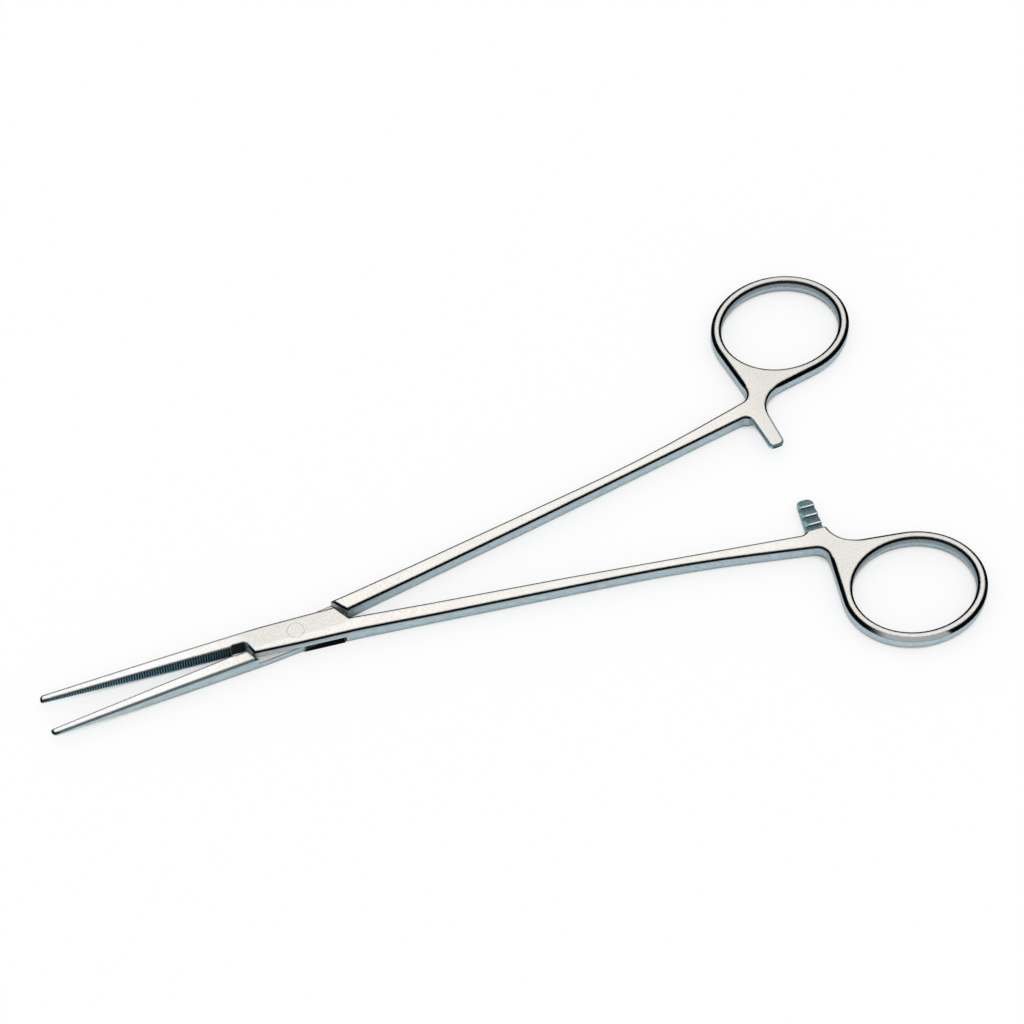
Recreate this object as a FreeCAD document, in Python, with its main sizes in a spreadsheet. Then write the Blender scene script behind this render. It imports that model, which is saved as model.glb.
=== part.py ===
import FreeCAD, Part
import math
import os
import Sketcher

# Straight locking artery forceps with a riveted lap joint, lying open on its side.
# The origin is on the pivot axis in the plane that the joint lies on. +Z is the pivot
# axis, the jaws point to -X and the finger rings to +X. Both halves are the same
# forging: the under half is the over half turned over about the X axis. Each half is
# drawn in its closed place, with its jaw face on the X axis, and then swung open.

# Driving dimensions, millimetres and degrees
SIZES = [
    ("joint_thickness", 3.6, "both lap plates together"),
    ("jaw_thickness", 3.0, "jaw, near its root"),
    ("tip_thickness", 1.1, "jaw, at its tip"),
    ("handle_thickness", 3.1, "shanks and finger rings"),
    ("edge_bevel", 0.37, "bevel round every outer edge"),
    ("open_angle", 7.25, "angle between the jaws as it lies"),
    ("jaw_length", 49.75, "pivot axis to jaw tip"),
    ("jaw_taper_start", 24.0, "pivot axis to where the jaw starts to thin"),
    ("tip_width", 1.4, "width of one jaw at its tip"),
    ("tip_inner_radius", 0.5, "tip corner beside the jaw face"),
    ("tip_outer_radius", 0.85, "tip corner at the back of the jaw"),
    ("jaw_gap", 0.1, "room between the closed jaw faces"),
    ("tooth_pitch", 0.5, "jaw serration, ridge to ridge"),
    ("tooth_depth", 0.25, "jaw serration, ridge to groove"),
    ("teeth_end", 12.85, "pivot axis to the last ridge"),
    ("relief_back", 0.2, "last ridge to the start of the hollow behind it"),
    ("relief_depth", 0.4, "depth of that hollow from the jaw face"),
    ("relief_land", 0.1, "end of the hollow to the plate's corner"),
    ("joint_back", 2.93, "pivot axis to the back edge of the joint"),
    ("joint_front", 2.95, "pivot axis to the front edge of the joint"),
    ("joint_corner", 2.45, "pivot axis to the front corner of the plate"),
    ("joint_flat", 6.4, "length of the straight back edge beside the pivot"),
    ("plate_jaw_reach", 8.95, "pivot axis to the plate end beside the jaw"),
    ("plate_shank_reach", 8.7, "pivot axis to the plate end beside the shank"),
    ("jaw_end_angle", 24.5, "slant of the joint ends beside the jaws"),
    ("shank_end_angle", 33.5, "slant of the joint ends beside the shanks"),
    ("jaw_end_gap", 0.17, "plate end to shoulder, jaw side, closed"),
    ("shank_end_gap", 0.3, "plate end to shoulder, shank side, closed"),
    ("lap_gap", 0.06, "room between the two lap plates"),
    ("joint_land", 0.7, "shoulder to where the jaw and the shank start to thin"),
    ("shank_gap", 0.24, "between the closed shanks beside the joint"),
    ("shank_root", 12.0, "pivot axis to the root of the shank"),
    ("shank_root_outer", 3.42, "outer edge at the shank root"),
    ("shank_thin_end", 26.0, "pivot axis to the even shank thickness"),
    ("inner_bend", 52.0, "pivot axis to the bend of the inner edge"),
    ("inner_bend_offset", 3.72, "inner edge at that bend"),
    ("outer_bend", 76.0, "pivot axis to the bend of the outer edge"),
    ("outer_bend_offset", 7.95, "outer edge at that bend"),
    ("neck_inner_offset", 8.45, "inner edge where the ratchet bar leaves it"),
    ("ring_place", 115.95, "pivot axis to the middle of the ring"),
    ("ring_offset", 25.35, "centre line to the middle of the ring"),
    ("neck_back", 13.15, "ring middle to the outer corner of the neck, along"),
    ("neck_across", 13.15, "ring middle to the outer corner of the neck, across"),
    ("web_across", 13.65, "ring middle to the corner under the ratchet bar"),
    ("ring_wall", 2.15, "width of the ring's bar"),
    ("ring_bevel", 0.66, "bevel round the outside of the ring"),
    ("finger_length", 24.2, "finger hole along the shank"),
    ("finger_width", 20.2, "finger hole across the shank"),
    ("finger_ridge", 0.18, "ridge round the middle of the finger hole's wall"),
    ("finger_bevel", 0.44, "bevel round the finger hole"),
    ("bar_back", 15.55, "ring middle to the ratchet bar's side next to the joint"),
    ("bar_width", 3.75, "ratchet bar at its root"),
    ("bar_taper", 0.6, "narrowing of the ratchet bar to its end"),
    ("bar_overreach", 0.3, "ratchet bar, end past the centre line"),
    ("bar_foot", 0.6, "shank's inner edge to the step of the ratchet bar"),
    ("bar_gap", 0.12, "room between the two ratchet bars"),
    ("ratchet_first", 1.55, "centre line to the first ratchet crest"),
    ("ratchet_pitch", 2.06, "ratchet crest to crest"),
    ("ratchet_crest", 0.35, "flat top of a ratchet tooth"),
    ("ratchet_depth", 0.6, "depth of a ratchet tooth"),
    ("ratchet_teeth", 3, "teeth on each bar"),
    ("ratchet_side", 1.3, "sloping side of the ratchet, next to the joint"),
    ("rivet_radius", 1.1, "pivot rivet shank"),
    ("rivet_flare", 0.5, "height and spread of the flush rivet heads"),
    ("rivet_clearance", 0.05, "rivet to the plate that turns on it"),
]

doc = FreeCAD.newDocument("artery_forceps")
sheet = doc.addObject("Spreadsheet::Sheet", "sizes")
for row, (name, number, note) in enumerate(SIZES, 1):
    sheet.set("A%d" % row, name)
    sheet.set("B%d" % row, str(number))
    sheet.set("C%d" % row, note)
    sheet.setAlias("B%d" % row, name)
doc.recompute()
size = {name: float(sheet.get(name)) for name, number, note in SIZES}
ring_half_length = size["finger_length"] / 2 + size["ring_wall"]
ring_half_width = size["finger_width"] / 2 + size["ring_wall"]
bar_inner = size["ring_place"] - size["bar_back"]
bar_outer = bar_inner + size["bar_width"]
bar_step = size["neck_inner_offset"] - size["bar_foot"]
jaw_wall = size["plate_jaw_reach"] + size["jaw_end_gap"]
shank_wall = size["plate_shank_reach"] + size["shank_end_gap"]

# Room that a cut runs past the metal on each side
CUT_MARGIN = 3.0
BEVEL_MARGIN = 0.3
RELIEF_MARGIN = 0.2
# Sketch ends nearer than this are one point
MEETING = 1e-6
# Upright share of a face's normal: above the first it is a flat side, below the second a wall
FLAT_TILT = 0.9
WALL_TILT = 0.2
# The most that a rounded corner takes of the straight run beside it
BLEND_SHARE = 0.9
# Corner radii that blend one straight run into the next
BACK_BLEND = 30.0
FRONT_BLEND = 20.0
ROOT_BLEND = 60.0
SHANK_BLEND = 300.0
NECK_BLEND = 2.4
WEB_BLEND = 5.5
BAR_BLEND = 1.5
BAR_END_RADIUS = 1.2
FACE_BLEND = 80.0
# How much wider the ring's bevel turns at the neck and the web, so that it runs out
NECK_RUN_OUT = 1.8
WEB_RUN_OUT = 1.4


def plane_of(body, role):
    """The body's own origin plane with this role"""
    return next(item for item in body.Origin.OriginFeatures if item.Role == role)


def new_sketch(body, name, role, shift=0.0):
    """A sketch on an origin plane, moved by shift along the plane's normal"""
    sketch = body.newObject("Sketcher::SketchObject", name)
    sketch.AttachmentSupport = [(plane_of(body, role), "")]
    sketch.MapMode = "FlatFace"
    sketch.AttachmentOffset = FreeCAD.Placement(FreeCAD.Vector(0, 0, shift), FreeCAD.Rotation())
    return sketch


def rounded_path(corners):
    """Lines and arcs through corners (x, y, radius), from the first corner to the last"""
    points = [FreeCAD.Vector(x, y, 0) for x, y, radius in corners]
    pieces = []
    start = points[0]
    for here, before, after, corner in zip(points[1:-1], points, points[2:], corners[1:-1]):
        radius = corner[2]
        if radius == 0:
            pieces.append(Part.LineSegment(start, here))
            start = here
            continue
        back = (before - here).normalize()
        ahead = (after - here).normalize()
        half_turn = back.getAngle(ahead) / 2
        room = min((start - here).Length, (after - here).Length)
        reach = min(radius / math.tan(half_turn), room * BLEND_SHARE)
        radius = reach * math.tan(half_turn)
        middle_way = (back + ahead).normalize()
        centre = here + middle_way * (radius / math.sin(half_turn))
        first = here + back * reach
        last = here + ahead * reach
        pieces.append(Part.LineSegment(start, first))
        pieces.append(Part.Arc(first, centre - middle_way * radius, last))
        start = last
    pieces.append(Part.LineSegment(start, points[-1]))
    return pieces


def closed_path(corners):
    """A closed outline that starts and ends in the middle of its last side"""
    first, last = corners[0], corners[-1]
    middle = ((first[0] + last[0]) / 2, (first[1] + last[1]) / 2, 0)
    return rounded_path([middle] + corners + [middle])


def draw(sketch, pieces):
    """Adds the pieces to the sketch and ties the ends that meet"""
    sketch.addGeometry(pieces, False)
    ties = []
    for index in range(len(pieces)):
        following = (index + 1) % len(pieces)
        for own, other in ((1, 1), (1, 2), (2, 1), (2, 2)):
            gap = sketch.getPoint(index, own).distanceToPoint(sketch.getPoint(following, other))
            if gap < MEETING:
                ties.append(Sketcher.Constraint("Coincident", index, own, following, other))
    sketch.addConstraint(ties)


def on_line(reach, angle, height):
    """The x at this height on a line whose normal has this angle and distance from the pivot"""
    slant = math.radians(angle)
    return (reach - height * math.sin(slant)) / math.cos(slant)


def tangent_angle(x, y, side):
    """Angle on the ring's outer ellipse where a line from (x, y) touches it"""
    across = (x - size["ring_place"]) / ring_half_length
    along = (y + size["ring_offset"]) / ring_half_width
    spread = math.acos(1 / math.hypot(across, along))
    return math.atan2(along, across) + side * spread


def ring_parts(web_blend, neck_blend):
    """The ring's outer arc, and the corners where the neck and the web leave it"""
    web = (bar_outer, size["web_across"] - size["ring_offset"], web_blend)
    neck_x = size["ring_place"] - size["neck_back"]
    neck = (neck_x, size["neck_across"] - size["ring_offset"], neck_blend)
    low = tangent_angle(neck[0], neck[1], 1) % (2 * math.pi)
    high = tangent_angle(web[0], web[1], -1) % (2 * math.pi)
    centre = FreeCAD.Vector(size["ring_place"], -size["ring_offset"], 0)
    ring = Part.Ellipse(centre, ring_half_length, ring_half_width)
    return Part.ArcOfEllipse(ring, low, high + 2 * math.pi), web, neck


def plan_outline():
    """Outline of one half seen from above, in its closed place, jaw face on the X axis"""
    face = (size["jaw_gap"] - size["tooth_depth"]) / 2
    jaw_end = size["jaw_end_angle"]
    shank_end = size["shank_end_angle"]
    jaw_reach = size["plate_jaw_reach"]
    shank_reach = size["plate_shank_reach"]
    back = size["joint_back"]
    corner = -size["joint_corner"]
    inner_start = -size["shank_gap"] / 2
    ring_arc, web, neck = ring_parts(WEB_BLEND, NECK_BLEND)
    leave = ring_arc.EndPoint
    arrive = ring_arc.StartPoint
    corners = [
        (leave.x, leave.y, 0),
        web,
        (bar_outer, size["bar_overreach"], BAR_END_RADIUS),
        (bar_inner + size["bar_taper"], size["bar_overreach"], BAR_END_RADIUS),
        (bar_inner, -size["neck_inner_offset"], BAR_BLEND),
        (size["inner_bend"], -size["inner_bend_offset"], SHANK_BLEND),
        (on_line(shank_reach, shank_end, inner_start), inner_start, 0),
        (on_line(shank_reach, shank_end, back), back, 0),
        (-size["joint_flat"], back, BACK_BLEND),
        (-size["jaw_length"], size["tip_width"], size["tip_outer_radius"]),
        (-size["jaw_length"], face, size["tip_inner_radius"]),
        (-on_line(jaw_reach, jaw_end, -face), face, 0),
        (-on_line(jaw_reach, jaw_end, -corner), corner, 0),
        (0, -size["joint_front"], FRONT_BLEND),
        (size["shank_root"], -size["shank_root_outer"], ROOT_BLEND),
        (size["outer_bend"], -size["outer_bend_offset"], SHANK_BLEND),
        neck,
        (arrive.x, arrive.y, 0),
    ]
    return rounded_path(corners) + [ring_arc]


def side_outline(above):
    """What is cut away above or below one half, seen from the front"""
    middle = size["joint_thickness"] / 2
    side = 1 if above else -1
    left = -size["jaw_length"] - CUT_MARGIN
    right = size["ring_place"] + ring_half_length + CUT_MARGIN
    thinning = (size["jaw_thickness"] - size["tip_thickness"]) / 2
    slope = thinning / (size["jaw_length"] - size["jaw_taper_start"])
    far_left = size["tip_thickness"] / 2 - slope * CUT_MARGIN
    joint = size["joint_thickness"] / 2
    handle = size["handle_thickness"] / 2
    jaw = size["jaw_thickness"] / 2
    joint_left = -on_line(jaw_wall, size["jaw_end_angle"], 0) - size["joint_land"]
    joint_right = on_line(shank_wall, size["shank_end_angle"], 0) + size["joint_land"]
    clear = joint + CUT_MARGIN
    jaw_corners = [
        (left, middle + side * clear, 0),
        (left, middle + side * far_left, 0),
        (-size["jaw_taper_start"], middle + side * jaw, FACE_BLEND),
        (joint_left, middle + side * joint, 0),
        (joint_left, middle + side * clear, 0),
    ]
    shank_corners = [
        (right, middle + side * clear, 0),
        (right, middle + side * handle, 0),
        (size["shank_thin_end"], middle + side * handle, FACE_BLEND),
        (joint_right, middle + side * joint, 0),
        (joint_right, middle + side * clear, 0),
    ]
    return closed_path(jaw_corners), closed_path(shank_corners)


def lap_outline():
    """What the lap recess takes from the lower side, seen from above"""
    far = 3 * size["joint_back"]
    jaw_end = size["jaw_end_angle"]
    shank_end = size["shank_end_angle"]
    return closed_path([
        (-on_line(jaw_wall, jaw_end, far), far, 0),
        (-on_line(jaw_wall, jaw_end, -far), -far, 0),
        (on_line(shank_wall, shank_end, far), -far, 0),
        (on_line(shank_wall, shank_end, -far), far, 0),
    ])


def tooth_outline(phase):
    """The serration of one jaw face, grooves and ridges from the hollow to past the tip"""
    pitch = size["tooth_pitch"]
    ridge = (size["jaw_gap"] - size["tooth_depth"]) / 2
    groove = ridge + size["tooth_depth"]
    count = math.ceil((size["jaw_length"] - size["teeth_end"]) / pitch) + 1
    start = -size["teeth_end"] + (phase + 0.5) * pitch
    corners = [(start, ridge - CUT_MARGIN, 0)]
    for tooth in range(count):
        corners.append((start - tooth * pitch, groove, 0))
        corners.append((start - (tooth + 0.5) * pitch, ridge, 0))
    corners.append((start - (count - 0.5) * pitch, ridge - CUT_MARGIN, 0))
    return closed_path(corners)


def relief_outline():
    """The hollow between the last ridge and the plate, seen from above"""
    face = (size["jaw_gap"] - size["tooth_depth"]) / 2
    deep = size["jaw_gap"] / 2 + size["relief_depth"]
    left = size["relief_back"] - size["teeth_end"]
    right = -on_line(size["plate_jaw_reach"], size["jaw_end_angle"], -face) - size["relief_land"]
    return closed_path([
        (left, face - RELIEF_MARGIN, 0),
        (left, deep, size["relief_depth"]),
        (right, deep, size["relief_depth"] / 2),
        (right, face - RELIEF_MARGIN, 0),
    ])


def ratchet_outline():
    """What is cut away above the lower ratchet bar, seen from the end of the shank"""
    crest = (size["joint_thickness"] - size["bar_gap"]) / 2
    valley = crest - size["ratchet_depth"]
    clear = size["joint_thickness"] + CUT_MARGIN
    half = size["ratchet_crest"] / 2
    end = size["bar_overreach"] + CUT_MARGIN
    slope = size["ratchet_depth"] / (size["ratchet_pitch"] - size["ratchet_crest"])
    first_run = end + size["ratchet_first"] - half
    corners = [(end, clear, 0), (end, crest - slope * first_run, 0)]
    for tooth in range(int(size["ratchet_teeth"])):
        place = -size["ratchet_first"] - tooth * size["ratchet_pitch"]
        corners.append((place + half, crest, 0))
        corners.append((place - half, crest, 0))
        corners.append((place - half, valley, 0))
    corners.append((-bar_step, crest, 0))
    corners.append((-bar_step, clear, 0))
    return closed_path(corners)


def pad(body, sketch, name, length):
    feature = body.newObject("PartDesign::Pad", name)
    feature.Profile = sketch
    feature.setExpression("Length", length)
    doc.recompute()
    return feature


def pocket(body, sketch, name, length=None, both=False):
    """A cut: through all both ways, or by a length along the sketch's normal"""
    feature = body.newObject("PartDesign::Pocket", name)
    feature.Profile = sketch
    if both:
        feature.Type = "ThroughAll"
        feature.Midplane = True
    else:
        feature.Reversed = True
        feature.setExpression("Length", length)
    before = feature.BaseFeature.Shape.Volume
    doc.recompute()
    if not feature.Shape.Volume < before:
        raise ValueError(name + " cuts nothing")
    return feature


def rim_edges(shape, wanted):
    """Names of the edges between a flat side and an upright wall that wanted(edge) accepts"""
    names = []
    for index, edge in enumerate(shape.Edges, 1):
        faces = shape.ancestorsOfType(edge, Part.Face)
        if len(faces) != 2:
            continue
        tilts = []
        for face in faces:
            middle = edge.valueAt((edge.FirstParameter + edge.LastParameter) / 2)
            u, v = face.Surface.parameter(middle)
            tilts.append(abs(face.normalAt(u, v).z))
        if max(tilts) > FLAT_TILT and min(tilts) < WALL_TILT and wanted(edge):
            names.append("Edge%d" % index)
    return names


def chamfer(body, base, name, edges, length):
    feature = body.newObject("PartDesign::Chamfer", name)
    feature.Base = (base, edges)
    feature.setExpression("Size", length)
    doc.recompute()
    return feature


def pivot_hole(body, name, radius):
    """A circle round the pivot axis whose radius follows the sheet"""
    sketch = new_sketch(body, name, "XY_Plane")
    sketch.addGeometry(Part.Circle(FreeCAD.Vector(), FreeCAD.Vector(0, 0, 1), 1.0), False)
    sketch.addConstraint(Sketcher.Constraint("Radius", 0, 1.0))
    sketch.setExpression("Constraints[0]", radius)
    return sketch


def finger_hole_edge(edge):
    """True on the rim of the finger hole"""
    middle = edge.valueAt((edge.FirstParameter + edge.LastParameter) / 2)
    across = (middle.x - size["ring_place"]) / (size["finger_length"] + size["ring_wall"])
    along = (middle.y + size["ring_offset"]) / (size["finger_width"] + size["ring_wall"])
    return math.hypot(across, along) < 0.5


def arc_part(arc, start, end):
    """The piece of an arc between two shares of its length"""
    span = arc.LastParameter - arc.FirstParameter
    shares = (start, (start + end) / 2, end)
    return Part.Arc(*[arc.value(arc.FirstParameter + span * share) for share in shares])


def ring_bevel(body, name, above):
    """The broader bevel outside the ring, which runs out in the corners beside the neck"""
    side = 1 if above else -1
    level = (size["joint_thickness"] + side * size["handle_thickness"]) / 2
    ring_arc, web, neck = ring_parts(WEB_BLEND + WEB_RUN_OUT, NECK_BLEND + NECK_RUN_OUT)
    leave = ring_arc.EndPoint
    arrive = ring_arc.StartPoint
    shank = (size["outer_bend"], -size["outer_bend_offset"], 0)
    neck_arc, neck_side = rounded_path([shank, neck, (arrive.x, arrive.y, 0)])[1:]
    web_side, web_arc = rounded_path([(leave.x, leave.y, 0), web, (bar_outer, 0, 0)])[:2]
    neck_run = arc_part(neck_arc, 0.5, 1.0)
    web_run = arc_part(web_arc, 0.0, 0.5)
    path = new_sketch(body, name + "_path", "XY_Plane", level)
    draw(path, [neck_run, neck_side, ring_arc, web_side, web_run])

    ahead = neck_run.tangent(neck_run.FirstParameter)[0]
    upward = FreeCAD.Vector(0, 0, 1)
    outward = ahead.cross(upward)
    turn = FreeCAD.Rotation(outward, upward, outward.cross(upward), "XYZ")
    start = neck_run.StartPoint
    profile = body.newObject("Sketcher::SketchObject", name + "_profile")
    profile.Placement = FreeCAD.Placement(FreeCAD.Vector(start.x, start.y, level), turn)
    inset = size["ring_bevel"] + BEVEL_MARGIN
    draw(profile, closed_path([
        (-inset, side * BEVEL_MARGIN, 0),
        (BEVEL_MARGIN, -side * inset, 0),
        (BEVEL_MARGIN, side * BEVEL_MARGIN, 0),
    ]))
    swept = body.newObject("PartDesign::SubtractivePipe", name)
    swept.Profile = profile
    swept.Spine = path
    doc.recompute()
    return swept


def finger_hole(body, label):
    """The finger hole, with a ridge round its middle that both sides slope away from"""
    middle = size["joint_thickness"] / 2
    height = size["handle_thickness"] / 2
    reach = height + CUT_MARGIN
    centre = FreeCAD.Vector(size["ring_place"], -size["ring_offset"], 0)
    sections = []
    for name, level in (("low", middle - reach), ("ridge", middle), ("high", middle + reach)):
        spread = size["finger_ridge"] * abs(level - middle) / height
        section = new_sketch(body, "%s_finger_%s" % (label, name), "XY_Plane", level)
        half_length = size["finger_length"] / 2 + spread
        half_width = size["finger_width"] / 2 + spread
        section.addGeometry(Part.Ellipse(centre, half_length, half_width), False)
        sections.append(section)
    hole = body.newObject("PartDesign::SubtractiveLoft", label + "_finger_hole")
    hole.Profile = sections[0]
    hole.Sections = sections[1:]
    hole.Ruled = True
    doc.recompute()
    return hole


def ratchet_side_outline():
    """What is cut off the ratchet's side next to the joint, seen from the front"""
    crest = (size["joint_thickness"] - size["bar_gap"]) / 2
    slope = size["ratchet_depth"] / size["ratchet_side"]
    edge = bar_inner + size["ratchet_side"]
    left = bar_inner - CUT_MARGIN
    clear = size["joint_thickness"] + CUT_MARGIN
    return closed_path([
        (left, crest - slope * (edge - left), 0),
        (edge, crest, 0),
        (edge, clear, 0),
        (left, clear, 0),
    ])


def build_half(label, phase, bore):
    """One forged half: jaw, lap plate, shank, finger ring and ratchet bar in one piece"""
    body = doc.addObject("PartDesign::Body", label)
    body.Label = label

    plan = new_sketch(body, label + "_plan", "XY_Plane")
    draw(plan, plan_outline())
    blank = pad(body, plan, label + "_blank", "sizes.joint_thickness")

    for above in (True, False):
        for part, outline in zip(("jaw", "shank"), side_outline(above)):
            name = "%s_%s_%s" % (label, part, "top" if above else "bottom")
            side = new_sketch(body, name + "_side", "XZ_Plane")
            draw(side, outline)
            thinned = pocket(body, side, name, both=True)

    ring = finger_hole(body, label)
    outer = rim_edges(ring.Shape, lambda edge: not finger_hole_edge(edge))
    bevelled = chamfer(body, ring, label + "_bevel", outer, "sizes.edge_bevel")
    inner = rim_edges(bevelled.Shape, finger_hole_edge)
    chamfer(body, bevelled, label + "_finger_bevel", inner, "sizes.finger_bevel")
    for above in (True, False):
        ring_bevel(body, "%s_ring_bevel_%s" % (label, "top" if above else "bottom"), above)

    lap = new_sketch(body, label + "_lap_plan", "XY_Plane")
    draw(lap, lap_outline())
    recess = pocket(body, lap, label + "_lap", "(sizes.joint_thickness + sizes.lap_gap) / 2")
    shoulders = rim_edges(recess.Shape, lambda edge: edge.CenterOfMass.z < MEETING)
    shouldered = chamfer(body, recess, label + "_shoulder_bevel", shoulders, "sizes.edge_bevel")

    pivot = pivot_hole(body, label + "_pivot_plan", bore)
    bored = pocket(body, pivot, label + "_pivot_bore", both=True)
    top = FreeCAD.Vector(0, 0, size["joint_thickness"])
    rim = rim_edges(bored.Shape, lambda edge: edge.CenterOfMass.sub(top).Length < MEETING)
    chamfer(body, bored, label + "_rivet_seat", rim, "sizes.rivet_flare")

    relief = new_sketch(body, label + "_relief_plan", "XY_Plane")
    draw(relief, relief_outline())
    pocket(body, relief, label + "_relief", both=True)

    teeth = new_sketch(body, label + "_teeth_plan", "XY_Plane")
    draw(teeth, tooth_outline(phase))
    pocket(body, teeth, label + "_teeth", both=True)

    steps = new_sketch(body, label + "_ratchet_side", "YZ_Plane", bar_inner - CUT_MARGIN)
    draw(steps, ratchet_outline())
    pocket(body, steps, label + "_ratchet", "sizes.bar_width + %f" % (2 * CUT_MARGIN))
    end = size["bar_overreach"] + CUT_MARGIN
    slope = new_sketch(body, label + "_ratchet_end", "XZ_Plane", -end)
    draw(slope, ratchet_side_outline())
    slope_length = "sizes.neck_inner_offset - sizes.bar_foot + %f" % end
    pocket(body, slope, label + "_ratchet_side", slope_length)
    return body


def build_rivet():
    """The flush pivot rivet, with a flared head at each end"""
    body = doc.addObject("PartDesign::Body", "pivot_rivet")
    body.Label = "pivot_rivet"
    profile = new_sketch(body, "rivet_profile", "XZ_Plane")
    shaft = size["rivet_radius"]
    flare = size["rivet_flare"]
    height = size["joint_thickness"]
    draw(profile, closed_path([
        (0, 0, 0),
        (shaft + flare, 0, 0),
        (shaft, flare, 0),
        (shaft, height - flare, 0),
        (shaft + flare, height, 0),
        (0, height, 0),
    ]))
    turned = body.newObject("PartDesign::Revolution", "rivet_body")
    turned.Profile = profile
    turned.ReferenceAxis = (profile, ["V_Axis"])
    turned.Angle = 360
    doc.recompute()
    return body


# The three pieces
over_half = build_half("over_half", 0.0, "sizes.rivet_radius + sizes.rivet_clearance")
under_half = build_half("under_half", 0.5, "sizes.rivet_radius")
pivot_rivet = build_rivet()

# The over half swings clockwise from its closed place, the under half is turned over
# and swings the other way
swing = size["open_angle"] / 2
upright = FreeCAD.Vector(0, 0, 1)
over_half.Placement = FreeCAD.Placement(FreeCAD.Vector(), FreeCAD.Rotation(upright, -swing))
turned_over = FreeCAD.Rotation(FreeCAD.Vector(1, 0, 0), 180)
under_half.Placement = FreeCAD.Placement(
    FreeCAD.Vector(0, 0, size["joint_thickness"]), FreeCAD.Rotation(upright, swing) * turned_over
)
doc.recompute()

for item in doc.Objects:
    if "Invalid" in item.State or "Error" in item.State:
        raise RuntimeError("failed: " + item.Name)
parts = [over_half, under_half, pivot_rivet]
for part in parts:
    if part.Shape.isNull() or not part.Shape.isValid() or len(part.Shape.Solids) != 1:
        raise RuntimeError("bad shape: " + part.Label)

os.makedirs("parts", exist_ok=True)
for part in parts:
    part.Shape.exportStep("parts/%s.step" % part.Label)
    print(part.Label, "volume", round(part.Shape.Volume, 2))
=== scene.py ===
import bpy
import math
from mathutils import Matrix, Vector

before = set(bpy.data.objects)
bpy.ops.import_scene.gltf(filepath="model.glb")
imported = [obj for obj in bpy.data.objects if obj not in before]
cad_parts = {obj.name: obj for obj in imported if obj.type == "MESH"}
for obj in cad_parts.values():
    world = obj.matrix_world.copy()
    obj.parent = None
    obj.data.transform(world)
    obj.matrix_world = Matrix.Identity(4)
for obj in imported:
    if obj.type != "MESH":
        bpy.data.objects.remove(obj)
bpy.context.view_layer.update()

# Photograph's view, metres
CAMERA_PLACE = Vector((-0.0847, -0.3356, 0.5839))
CAMERA_TARGET = Vector((0.04787, 0.01017, 0.0036))
CAMERA_LENS = 124.89
CAMERA_SENSOR = 36.0
CAMERA_CLIP = (0.05, 20.0)

# Steel, linear colours, several of them painted reflections, highlights and shadows
# The flats and the sides differ in finish, and their tints are partly painted light: warm light on
# the flats, a cool reflected floor on the sides
FLAT_COLOUR = (0.93, 0.91, 0.86, 1.0)
SIDE_COLOUR = (0.64, 0.74, 0.78, 1.0)
# Painted dark reflection on the bevels, on thin lines along the flats' edges and on the steep faces
# of the ratchet's teeth
DARK_REFLECTION_COLOUR = (0.055, 0.065, 0.07, 1.0)
# Dark tint of the bevels' reflection at grazing angles, which paints their reflection darker
BEVEL_REFLECTION_TINT = (0.1, 0.1, 0.1, 1.0)
# Painted highlight on a stretch of the over half's ring's outer bevel
RING_HIGHLIGHT_COLOUR = (0.48, 0.53, 0.53, 1.0)
# Lighter painted reflection on the jaw's bevels
JAW_EDGE_REFLECTION_COLOUR = (0.13, 0.17, 0.175, 1.0)
# Painted dark teal reflection on the ridges of the serrated jaw faces
RIDGE_REFLECTION_COLOUR = (0.16, 0.46, 0.57, 1.0)
# Painted near-black shade in the grooves of the serrations
GROOVE_SHADE_COLOUR = (0.01, 0.03, 0.04, 1.0)
# Painted black shadow on the walls low down beside the lap
LAP_WALL_SHADOW_COLOUR = (0.012, 0.014, 0.016, 1.0)
# Painted teal reflection on the ramps of the ratchet's teeth
RAMP_REFLECTION_COLOUR = (0.31, 0.5, 0.56, 1.0)

# Finish: how metallic, how rough, how deep the grain
FLAT_METAL = 0.7
# Less metallic on the lap floor, and on the bevels that carry a painted highlight or a lighter
# painted reflection
LOW_METAL = 0.3
FLAT_ROUGHNESS = 0.32
SIDE_ROUGHNESS = (0.28, 0.4)
BEVEL_ROUGHNESS = 0.14
GRAIN_DEPTH = 0.000012
SIDE_RELIEF = 0.25
FLAT_RELIEF = 0.6

# Grain: brushed streaks on sides, blasted dots on flats, faint clouds on both; detail with roughness
STREAK_SCALE = 6000.0
STREAK_STRETCH = (12.0, 1.0, 1.0)
STREAK_DETAIL = (3.0, 0.6)
DOT_SCALE = 3300.0
DOT_DETAIL = (3.0, 0.75)
CLOUD_SCALE = 130.0
CLOUD_DETAIL = (2.0, 0.5)
NOISE_RANGE = (0.3, 0.7)
STREAK_SHADES = (0.76, 1.12)
DOT_SHADES = (0.8, 1.08)
CLOUD_SHADES = (0.98, 1.02)
RAMP_NOISE = (0.35, 0.65)
RAMP_SHADES = (0.5, 1.3)

# Painted shade on flats round the rings and on the lap plate, and on sides at their top, at their
# foot and where they lean up
FLAT_PAINTED_SHADE = 0.88
TOP_SHADE = 0.72
FOOT_SHADE = 0.45
LEANING_SHADE = 0.55

# Upright share of the normal at which each zone of the surface begins or ends
FLAT_UPRIGHT = (0.955, 0.985)
SIDE_UPRIGHT = (0.54, 0.69)
BEVEL_UPRIGHT = (0.8, 0.9)
LEANING_UPRIGHT = (0.04, 0.1)
RAMP_STEEPEST = (0.5, 0.6)
RAMP_LEVEL = (0.98, 0.99)
OUTLINE_UPRIGHT = (0.93, 0.986)
OUTLINE_LEVEL = (0.95, 0.98)

# Share of the normal along the bar on the steep faces of the ratchet's teeth
TOOTH_FACING = (0.8, 0.9)

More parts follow.
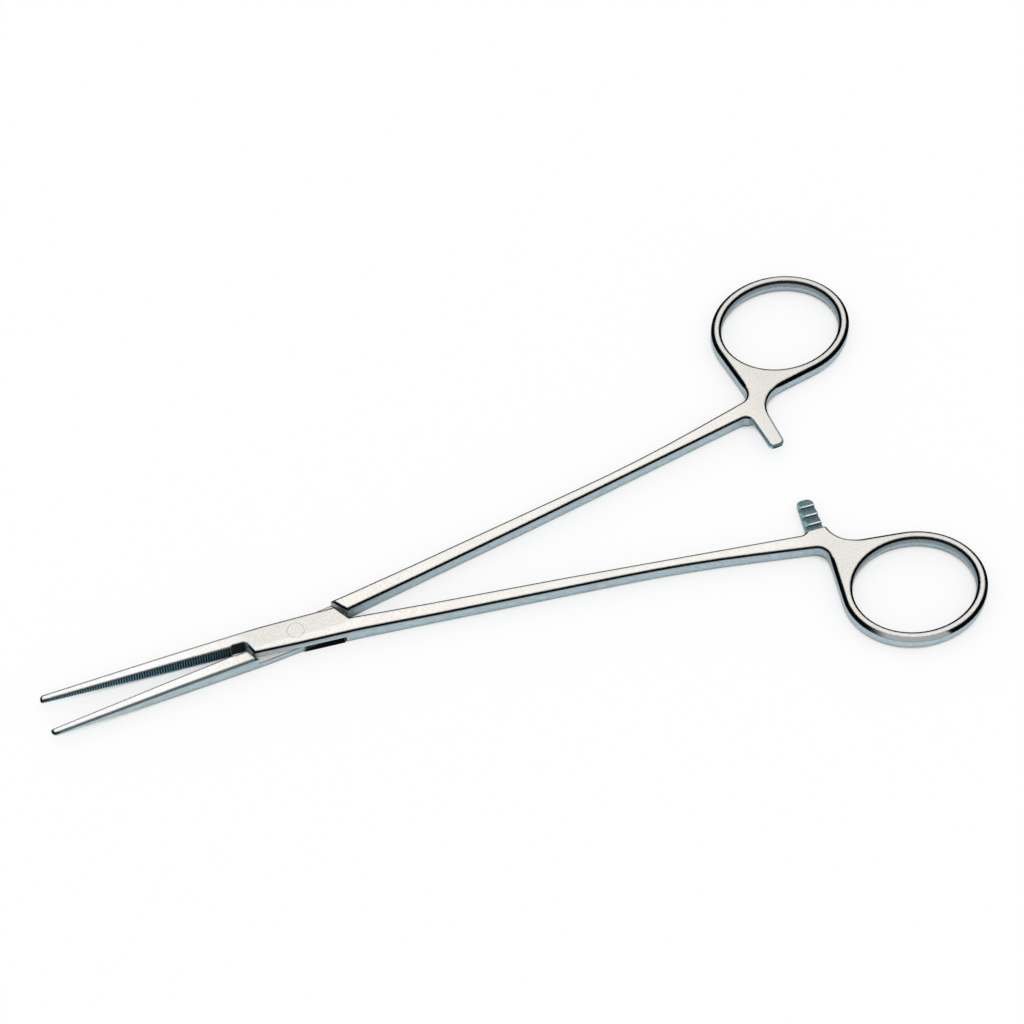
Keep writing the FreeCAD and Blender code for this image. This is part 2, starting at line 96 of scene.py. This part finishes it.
# Floor and studio
WHITE = (1.0, 1.0, 1.0, 1.0)
FLOOR_COLOUR = (0.82, 0.89, 0.92, 1.0)
FLOOR_GLOW = 0.7
FLOOR_REACH = 3.0
STUDIO_LOW = (0.05, 0.06, 0.065, 1.0)
STUDIO_HIGH = (1.26, 1.25, 1.23, 1.0)
STUDIO_HEIGHTS = (0.45, 0.9)

# Places on the forceps, metres and degrees, some with a start and an end of a soft border
OPEN_ANGLE = 7.25
JAW_FACE_START = -0.0093
JAW_FACE_REACH = (0.00048, 0.0006)
JAW_TIP = (-0.049, -0.048)
JAW_WHITE = -0.03
RIDGE_HEIGHT = -0.000075
GROOVE_HEIGHT = 0.000105
PLATE_START = (0.0, 0.001)
PLATE_REACH = 0.009
SHADED_PLATE_REACH = (0.009, 0.012)
LIT_STRIP = -0.00135
LAP_HEIGHT = 0.0018
LAP_FLOOR = 0.0019
BAR_START = 0.1002
BAR_END = 0.1045
BAR_STEP = -0.0078
RING_START = (0.095, 0.105)
RING_PLACE = 0.11595
RING_OFFSET = 0.02535
RING_LENGTH = 0.0132
RING_WIDTH = 0.0112
HIGHLIGHT_START = (0.10345, 0.10695)
RIVET_RIM = (0.0019, 0.00228)
SIDE_TOP = (0.002, 0.0033)
SIDE_FOOT = (0.0003, 0.0006)

# Stretch of the over half's ring with a painted highlight on its outer bevel, as shares of the ring's
# length and width
HIGHLIGHT_OUTSIDE = (1.0, 1.05)
HIGHLIGHT_SIDE = (-0.55, -0.83)
HIGHLIGHT_REACH = (0.73, 0.79)

# Painted black shadow on the floor, from the front edge of the over half's lap plate inward, metres
GAP_FRONT = -0.00296
GAP_SLANT = 0.1036
GAP_START = 0.001
GAP_END = 0.0086
GAP_DEPTH = (0.002, 0.0022)

# Dark corners of painted shade: their reach in metres, the openness at which they begin and end, and
# their shade
CREVICE_REACH = 0.003
CREVICE_SAMPLES = 8
CREVICE_SHADOW = (0.12, 0.42)
FLOOR_SHADOW = (0.24, 0.46)
GAP_SHADOW = (0.78, 0.86)
CREVICE_SHADE = 0.06

# Rounded edges and soft borders, metres
EDGE_ROUNDING = 0.0002
OUTLINE_ROUNDING = 0.00055
EDGE_SAMPLES = 6
BORDER = 0.0001


class Nodes:
    """Adds and wires the nodes of one material or world"""

    def __init__(self, owner):
        owner.use_nodes = True
        self.tree = owner.node_tree
        self.tree.nodes.clear()

    def add(self, kind, **settings):
        node = self.tree.nodes.new(kind)
        for name, value in settings.items():
            setattr(node, name, value)
        return node

    def link(self, source, target):
        self.tree.links.new(source, target)

    def number(self, operation, first, second=None):
        """A math node on one or two values, each a socket or a number"""
        node = self.add("ShaderNodeMath", operation=operation)
        for socket, value in zip(node.inputs, (first, second)):
            if value is None:
                continue
            if isinstance(value, (int, float)):
                socket.default_value = value
            else:
                self.link(value, socket)
        return node.outputs[0]

    def spread(self, value, low, high, out_low=0.0, out_high=1.0):
        """Smoothly maps value from low..high to out_low..out_high"""
        node = self.add("ShaderNodeMapRange", interpolation_type="SMOOTHSTEP")
        self.link(value, node.inputs["Value"])
        node.inputs["From Min"].default_value = low
        node.inputs["From Max"].default_value = high
        node.inputs["To Min"].default_value = out_low
        node.inputs["To Max"].default_value = out_high
        return node.outputs["Result"]

    def mix(self, kind, factor, first, second, blend="MIX"):
        """A mix of two values of one kind: Float, Color or Vector"""
        data_type = {"Float": "FLOAT", "Color": "RGBA", "Vector": "VECTOR"}[kind]
        node = self.add("ShaderNodeMix", data_type=data_type, blend_type=blend)
        values = {"Factor_Float": factor, "A_" + kind: first, "B_" + kind: second}
        for socket in node.inputs:
            value = values.get(socket.identifier)
            if isinstance(value, (int, float, tuple)):
                socket.default_value = value
            elif value is not None:
                self.link(value, socket)
        return next(item for item in node.outputs if item.identifier == "Result_" + kind)

    def noise(self, vector, scale, detail, roughness):
        node = self.add("ShaderNodeTexNoise")
        self.link(vector, node.inputs["Vector"])
        node.inputs["Scale"].default_value = scale
        node.inputs["Detail"].default_value = detail
        node.inputs["Roughness"].default_value = roughness
        return node.outputs["Fac"]

    def parts(self, vector):
        """The X, Y and Z of a vector"""
        node = self.add("ShaderNodeSeparateXYZ")
        self.link(vector, node.inputs[0])
        return node.outputs

    def flattened(self, vector):
        """The vector without its Z"""
        node = self.add("ShaderNodeVectorMath", operation="MULTIPLY")
        self.link(vector, node.inputs[0])
        node.inputs[1].default_value = (1.0, 1.0, 0.0)
        return node.outputs["Vector"]

    def grey(self, value):
        node = self.add("ShaderNodeCombineColor")
        for channel in node.inputs:
            self.link(value, channel)
        return node.outputs[0]

    def softened(self, radius):
        """The normal with rounded edges"""
        node = self.add("ShaderNodeBevel", samples=EDGE_SAMPLES)
        node.inputs["Radius"].default_value = radius
        return node.outputs["Normal"]

    def openness(self, shadow, normal=None):
        """1 in the open, dark in crevices and under overhangs, used as painted shade"""
        node = self.add("ShaderNodeAmbientOcclusion", samples=CREVICE_SAMPLES)
        node.inputs["Distance"].default_value = CREVICE_REACH
        if normal is not None:
            self.link(normal, node.inputs["Normal"])
        return self.spread(node.outputs["AO"], *shadow, CREVICE_SHADE, 1.0)

    def turned(self, vector, turn, scale=(1.0, 1.0, 1.0)):
        """Coordinates in line with one half, squeezed where the grain is to run"""
        node = self.add("ShaderNodeMapping", vector_type="TEXTURE")
        self.link(vector, node.inputs["Vector"])
        node.inputs["Rotation"].default_value = (0.0, 0.0, turn)
        node.inputs["Scale"].default_value = scale
        return node.outputs["Vector"]


def steel(name, turn, over):
    """Blasted flats, satin sides, polished bevels and matt serrations on one piece, with painted
    reflections, highlights and shade in their colours
    """
    material = bpy.data.materials.new(name)
    nodes = Nodes(material)

    # Where on the half
    coordinates = nodes.add("ShaderNodeTexCoord")
    place = coordinates.outputs["Object"]
    own = nodes.parts(nodes.turned(place, turn))
    along = own["X"]
    across = nodes.number("MULTIPLY", own["Y"], 1.0 if over else -1.0)
    from_pivot = nodes.add("ShaderNodeVectorMath", operation="LENGTH")
    nodes.link(nodes.flattened(place), from_pivot.inputs[0])
    beside_rivet = nodes.spread(from_pivot.outputs["Value"], *RIVET_RIM)

    # Which way the surface faces
    plain = nodes.add("ShaderNodeNewGeometry").outputs["Normal"]
    rounded = nodes.mix("Vector", beside_rivet, plain, nodes.softened(EDGE_ROUNDING))
    lean = nodes.parts(rounded)["Z"]
    upright = nodes.number("ABSOLUTE", lean)
    flat = nodes.spread(upright, *FLAT_UPRIGHT)
    side = nodes.spread(upright, *SIDE_UPRIGHT, 1.0, 0.0)
    bevel = nodes.spread(upright, *BEVEL_UPRIGHT, 1.0, 0.0)
    bevel = nodes.number("MULTIPLY", nodes.number("SUBTRACT", 1.0, side), bevel)
    bevel = nodes.number("MULTIPLY", bevel, beside_rivet)

    # Noise
    grain = nodes.noise(nodes.turned(place, turn, STREAK_STRETCH), STREAK_SCALE, *STREAK_DETAIL)
    speckle = nodes.noise(place, DOT_SCALE, *DOT_DETAIL)
    cloud = nodes.noise(place, CLOUD_SCALE, *CLOUD_DETAIL)

    # Colour
    toward_tip = nodes.spread(along, JAW_WHITE, JAW_FACE_START, 1.0, 0.0)
    top = nodes.mix("Color", toward_tip, FLAT_COLOUR, WHITE)
    # Flats and sides in their own colours, with painted warm light on the flats and painted cool
    # reflection on the sides
    colour = nodes.mix("Color", flat, SIDE_COLOUR, top)
    lit_stretch = ring_highlight(nodes, along, own["Y"])
    jaw = nodes.spread(along, JAW_FACE_START - 2 * BORDER, JAW_FACE_START, 1.0, 0.0)
    jaw_edge = nodes.number("MULTIPLY", jaw, nodes.spread(along, *JAW_TIP))
    # The bevels take a painted dark reflection, a painted highlight on a stretch of the ring and a
    # lighter painted reflection on the jaw
    bevel_reflection = nodes.mix("Color", lit_stretch, DARK_REFLECTION_COLOUR, RING_HIGHLIGHT_COLOUR)
    bevel_reflection = nodes.mix("Color", jaw_edge, bevel_reflection, JAW_EDGE_REFLECTION_COLOUR)
    colour = nodes.mix("Color", bevel, colour, bevel_reflection)
    beside, depth = serration(nodes, across)
    jaw_face = nodes.number("MULTIPLY", nodes.number("MULTIPLY", beside, jaw), side)
    # The serrated faces get a painted dark reflection on the ridges and painted shade in the grooves
    teeth = nodes.mix("Color", depth, RIDGE_REFLECTION_COLOUR, GROOVE_SHADE_COLOUR)
    colour = nodes.mix("Color", jaw_face, colour, teeth)
    # Painted black shadow on the walls under the lap plate
    lap_wall_shadow = nodes.number("MULTIPLY", shadow_under_plate(nodes, along, own["Z"]), side)
    colour = nodes.mix("Color", lap_wall_shadow, colour, LAP_WALL_SHADOW_COLOUR)
    # The ratchet's ramps get a painted teal reflection, and the steep faces of its teeth a painted
    # dark reflection
    bar, ramp, drop = ratchet(nodes, along, across, coordinates.outputs["Normal"], upright)
    colour = nodes.mix("Color", ramp, colour, RAMP_REFLECTION_COLOUR)
    # Thin dark lines along the flats' edges, a painted dark reflection
    edges = nodes.number("MULTIPLY", painted_outline(nodes, plain), nodes.number("SUBTRACT", 1.0, bar))
    edges = nodes.number("MULTIPLY", edges, beside_rivet)
    colour = nodes.mix("Color", nodes.number("MAXIMUM", drop, edges), colour, DARK_REFLECTION_COLOUR)

    # Grain and painted shade
    dots = nodes.spread(speckle, *NOISE_RANGE, *DOT_SHADES)
    # Painted shade on the flats round the rings and on the lap plate, with the plate's front strip
    # left bright
    dots = nodes.number("MULTIPLY", dots, flat_shade(nodes, along, across))
    streaks = nodes.spread(grain, *NOISE_RANGE, *STREAK_SHADES)
    # Painted shade on the sides, darker at their top and foot and where they lean up
    streaks = nodes.number("MULTIPLY", streaks, side_shade(nodes, own["Z"], lean))
    shade = nodes.mix("Float", flat, streaks, dots)
    shade = nodes.number("MULTIPLY", shade, nodes.spread(cloud, *NOISE_RANGE, *CLOUD_SHADES))
    shade = nodes.mix("Float", ramp, shade, nodes.spread(speckle, *RAMP_NOISE, *RAMP_SHADES))
    # Bevels with the painted highlight or the jaw's lighter painted reflection are kept out of the
    # shade
    painted_light_bevels = nodes.number("MULTIPLY", nodes.number("MAXIMUM", lit_stretch, jaw_edge), bevel)
    shade = nodes.mix("Float", painted_light_bevels, shade, 1.0)
    lap = nodes.spread(own["Z"], LAP_FLOOR, LAP_FLOOR + 2 * BORDER, 1.0, 0.0)
    lap = nodes.number("MULTIPLY", flat, lap)
    # Painted shade in crevices and under overhangs, left out beside the rivet and on the lap floor
    crevice = nodes.openness(CREVICE_SHADOW, rounded)
    crevice = nodes.number("MAXIMUM", crevice, nodes.number("SUBTRACT", 1.0, beside_rivet))
    crevice = nodes.number("MAXIMUM", crevice, lap)
    shade = nodes.number("MULTIPLY", shade, crevice)
    # Grain and painted shade darken the colour
    colour = nodes.mix("Color", 1.0, colour, nodes.grey(shade), "MULTIPLY")

    # Roughness and relief
    rough = nodes.spread(grain, *NOISE_RANGE, *SIDE_ROUGHNESS)
    rough = nodes.mix("Float", flat, rough, FLAT_ROUGHNESS)
    rough = nodes.mix("Float", bevel, rough, BEVEL_ROUGHNESS)

    bump = nodes.add("ShaderNodeBump")
    bump.inputs["Distance"].default_value = GRAIN_DEPTH
    nodes.link(nodes.mix("Float", flat, SIDE_RELIEF, FLAT_RELIEF), bump.inputs["Strength"])
    nodes.link(nodes.mix("Float", flat, grain, speckle), bump.inputs["Height"])
    nodes.link(rounded, bump.inputs["Normal"])

    # Shader
    shader = nodes.add("ShaderNodeBsdfPrincipled")
    matt = nodes.number("MAXIMUM", nodes.number("MAXIMUM", flat, ramp), jaw_face)
    metal = nodes.mix("Float", matt, 1.0, FLAT_METAL)
    # The lap floor and the bevels with painted light are less metallic
    metal = nodes.mix("Float", nodes.number("MAXIMUM", lap, painted_light_bevels), metal, LOW_METAL)
    nodes.link(metal, shader.inputs["Metallic"])
    # The bevels' reflection is tinted dark at grazing angles, a painted dark reflection
    nodes.link(nodes.mix("Color", bevel, WHITE, BEVEL_REFLECTION_TINT), shader.inputs["Specular Tint"])
    nodes.link(colour, shader.inputs["Base Color"])
    nodes.link(rough, shader.inputs["Roughness"])
    nodes.link(bump.outputs["Normal"], shader.inputs["Normal"])
    output = nodes.add("ShaderNodeOutputMaterial")
    nodes.link(shader.outputs[0], output.inputs["Surface"])
    return material


def serration(nodes, across):
    """1 near the plane where the jaws meet, and how deep in the grooves a point is, from 0 to 1"""
    beside = nodes.number("ABSOLUTE", across)
    beside = nodes.spread(beside, *JAW_FACE_REACH, 1.0, 0.0)
    return beside, nodes.spread(across, RIDGE_HEIGHT, GROOVE_HEIGHT)


def shadow_under_plate(nodes, along, height):
    """1 low down beside the lap, where its walls get a painted black shadow under the plate"""
    reach = nodes.number("MULTIPLY", nodes.spread(along, *PLATE_START),
                         nodes.spread(along, PLATE_REACH, PLATE_REACH + 2 * BORDER, 1.0, 0.0))
    low = nodes.spread(height, LAP_HEIGHT, LAP_HEIGHT + BORDER, 1.0, 0.0)
    return nodes.number("MULTIPLY", reach, low)


def ratchet(nodes, along, across, normal, upright):
    """1 over the ratchet bar, 1 on its ramps and ledge, and 1 on the steep faces of its teeth"""
    bar = nodes.number("MULTIPLY", nodes.spread(along, BAR_START, BAR_START + BORDER),
                       nodes.spread(along, BAR_END, BAR_END + BORDER, 1.0, 0.0))
    bar = nodes.number("MULTIPLY", bar, nodes.spread(across, BAR_STEP, BAR_STEP + BORDER))
    sloping = nodes.number("MULTIPLY", nodes.spread(upright, *RAMP_LEVEL, 1.0, 0.0),
                           nodes.spread(upright, *RAMP_STEEPEST))
    steep = nodes.number("ABSOLUTE", nodes.parts(normal)["Y"])
    steep = nodes.spread(steep, *TOOTH_FACING)
    return bar, nodes.number("MULTIPLY", bar, sloping), nodes.number("MULTIPLY", bar, steep)


def ring_highlight(nodes, along, aside):
    """1 on a stretch of the over half's ring where the outer bevel gets a painted highlight"""
    length = nodes.number("DIVIDE", nodes.number("SUBTRACT", along, RING_PLACE), RING_LENGTH)
    width = nodes.number("DIVIDE", nodes.number("ADD", aside, RING_OFFSET), RING_WIDTH)
    squares = nodes.number("ADD", nodes.number("POWER", length, 2.0),
                           nodes.number("POWER", width, 2.0))
    outside = nodes.spread(squares, *HIGHLIGHT_OUTSIDE)
    on_ring = nodes.spread(along, *HIGHLIGHT_START)
    toward = nodes.number("ADD", nodes.number("MULTIPLY", length, HIGHLIGHT_SIDE[0]),
                          nodes.number("MULTIPLY", width, HIGHLIGHT_SIDE[1]))
    stretch = nodes.spread(toward, *HIGHLIGHT_REACH)
    return nodes.number("MULTIPLY", nodes.number("MULTIPLY", outside, on_ring), stretch)


def painted_outline(nodes, plain):
    """1 on the flats along their edges, where a thin dark line is painted as the reflection of their
    rounding
    """
    turned = nodes.number("ABSOLUTE", nodes.parts(nodes.softened(OUTLINE_ROUNDING))["Z"])
    level = nodes.number("ABSOLUTE", nodes.parts(plain)["Z"])
    edge = nodes.spread(turned, *OUTLINE_UPRIGHT, 1.0, 0.0)
    return nodes.number("MULTIPLY", edge, nodes.spread(level, *OUTLINE_LEVEL))


def flat_shade(nodes, along, across):
    """Painted shade: the flats are a shade darker round the rings and on the lap plate, but for its
    front strip
    """
    reach = nodes.number("ABSOLUTE", along)
    plate = nodes.spread(reach, *SHADED_PLATE_REACH, 1.0, 0.0)
    strip = nodes.spread(across, LIT_STRIP, LIT_STRIP + 2 * BORDER)
    plate = nodes.number("MULTIPLY", plate, strip)
    ring = nodes.spread(along, *RING_START)
    return nodes.mix("Float", nodes.number("MAXIMUM", plate, ring), 1.0, FLAT_PAINTED_SHADE)


def side_shade(nodes, height, lean):
    """Painted shade: sides are darker at their top and foot, and where they lean up"""
    top = nodes.spread(height, *SIDE_TOP, 1.0, TOP_SHADE)
    foot = nodes.spread(height, *SIDE_FOOT, FOOT_SHADE, 1.0)
    leaning = nodes.spread(lean, *LEANING_UPRIGHT, 1.0, LEANING_SHADE)
    return nodes.number("MULTIPLY", nodes.number("MULTIPLY", top, foot), leaning)


def dress(node, material):
    """Gives one piece its material"""
    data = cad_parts[node].data
    data.materials.clear()
    data.materials.append(material)


half_open = math.radians(OPEN_ANGLE / 2)
dress("over_half", steel("over_half_steel", -half_open, True))
dress("under_half", steel("under_half_steel", half_open, False))
dress("pivot_rivet", steel("pivot_rivet_steel", 0.0, True))


def plate_gap(nodes):
    """1 on the strip of floor that shows below the front edge of the over half's lap plate"""
    place = nodes.parts(nodes.add("ShaderNodeTexCoord").outputs["Object"])
    inward = nodes.number("ADD", place["Y"], nodes.number("MULTIPLY", place["X"], GAP_SLANT))
    inward = nodes.number("SUBTRACT", inward, GAP_FRONT)
    gap = nodes.number("MULTIPLY", nodes.spread(place["X"], 0.0, GAP_START),
                       nodes.spread(place["X"], GAP_END - BORDER, GAP_END, 1.0, 0.0))
    gap = nodes.number("MULTIPLY", gap, nodes.spread(inward, -BORDER, 0.0))
    return nodes.number("MULTIPLY", gap, nodes.spread(inward, *GAP_DEPTH, 1.0, 0.0))


def lay_floor():
    """A pale floor, white where the camera sees it, with a light shadow that is dark in the laps"""
    material = bpy.data.materials.new("pale_floor")
    nodes = Nodes(material)
    seen = nodes.add("ShaderNodeLightPath").outputs["Is Camera Ray"]
    # Painted shadow: the floor's openness darkens its colour, to black under the over half's lap
    # plate
    black = nodes.number("POWER", nodes.openness(GAP_SHADOW), 2.0)
    open_air = nodes.mix("Float", plate_gap(nodes), nodes.openness(FLOOR_SHADOW), black)
    under = nodes.grey(open_air)
    shader = nodes.add("ShaderNodeBsdfDiffuse")
    nodes.link(nodes.mix("Color", seen, FLOOR_COLOUR, under), shader.inputs["Color"])
    glow = nodes.add("ShaderNodeEmission")
    nodes.link(under, glow.inputs["Color"])
    mixer = nodes.add("ShaderNodeMixShader")
    nodes.link(nodes.number("MULTIPLY", seen, FLOOR_GLOW), mixer.inputs[0])
    nodes.link(shader.outputs[0], mixer.inputs[1])
    nodes.link(glow.outputs[0], mixer.inputs[2])
    output = nodes.add("ShaderNodeOutputMaterial")
    nodes.link(mixer.outputs[0], output.inputs["Surface"])

    mesh = bpy.data.meshes.new("floor")
    corners = [(-1, -1), (1, -1), (1, 1), (-1, 1)]
    places = [(x * FLOOR_REACH, y * FLOOR_REACH, 0.0) for x, y in corners]
    mesh.from_pydata(places, [], [(0, 1, 2, 3)])
    mesh.materials.append(material)
    floor = bpy.data.objects.new("floor", mesh)
    bpy.context.scene.collection.objects.link(floor)


lay_floor()


def studio_world():
    """White soft light; in the steel's reflections bright overhead and dark near the horizon"""
    world = bpy.data.worlds.new("studio")
    bpy.context.scene.world = world
    nodes = Nodes(world)
    toward = nodes.parts(nodes.add("ShaderNodeTexCoord").outputs["Generated"])
    overhead = nodes.spread(toward["Z"], *STUDIO_HEIGHTS)
    studio = nodes.mix("Color", overhead, STUDIO_LOW, STUDIO_HIGH)

    for_glossy = nodes.add("ShaderNodeBackground")
    nodes.link(studio, for_glossy.inputs["Color"])
    for_rest = nodes.add("ShaderNodeBackground")
    for_rest.inputs["Color"].default_value = WHITE
    mixer = nodes.add("ShaderNodeMixShader")
    path = nodes.add("ShaderNodeLightPath")
    nodes.link(path.outputs["Is Glossy Ray"], mixer.inputs[0])
    nodes.link(for_rest.outputs[0], mixer.inputs[1])
    nodes.link(for_glossy.outputs[0], mixer.inputs[2])
    output = nodes.add("ShaderNodeOutputWorld")
    nodes.link(mixer.outputs[0], output.inputs["Surface"])


studio_world()


def place_camera():
    """The photograph's view"""
    data = bpy.data.cameras.new("view")
    data.lens = CAMERA_LENS
    data.sensor_width = CAMERA_SENSOR
    data.clip_start, data.clip_end = CAMERA_CLIP
    item = bpy.data.objects.new("view", data)
    bpy.context.scene.collection.objects.link(item)
    item.location = CAMERA_PLACE
    item.rotation_euler = (CAMERA_TARGET - CAMERA_PLACE).to_track_quat("-Z", "Y").to_euler()
    bpy.context.scene.camera = item


place_camera()

bpy.context.scene.view_settings.view_transform = "Standard"
